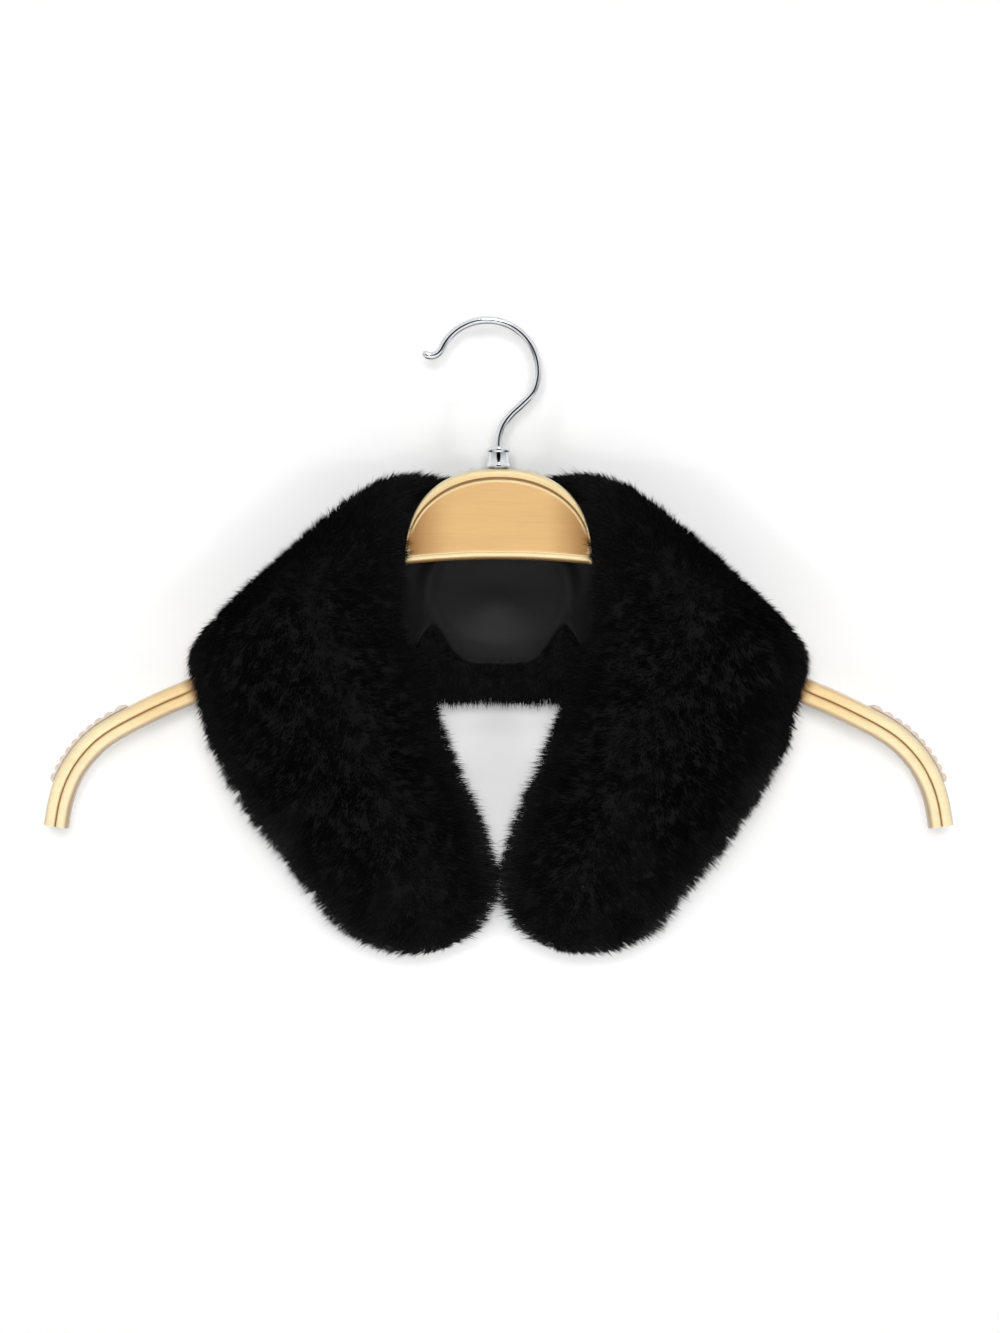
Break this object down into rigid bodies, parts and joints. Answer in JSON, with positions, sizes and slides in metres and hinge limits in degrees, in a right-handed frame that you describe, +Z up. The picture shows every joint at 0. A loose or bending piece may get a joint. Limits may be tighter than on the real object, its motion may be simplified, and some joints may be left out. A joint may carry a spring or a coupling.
{
  "type": "fur collar wrap on a hanger",
  "caption": "Black plush fur collar wrap with satin lining and rounded ends, folded over the arms of a light wooden hanger with a half-round head and a chrome hook.",
  "frame": {"origin": "the point on the inside of the hook, above the hanger's head, where a rail carries the hanger", "axes": "+X to the viewer's right along the hanger, +Y away from the viewer, +Z up"},
  "size_m": [0.4466, 0.06, 0.3108],
  "materials": {
    "fur": "long black plush pile, brushed down, clumped at the tips",
    "satin": "dark grey satin, soft folds",
    "gold": "light golden wood, fine grain, clear satin lacquer",
    "chrome": "polished chrome plate",
    "rubber": "clear rubber, matt"
  },
  "bodies": {
    "root": {"fur_back": "fur", "fur_left": "fur", "fur_right": "fur", "lining": "satin", "hanger_head": "gold", "arm_left": "gold", "arm_right": "gold", "grip_left": "rubber", "grip_right": "rubber", "hook": "chrome", "ferrule": "chrome"}
  },
  "joints": []
}
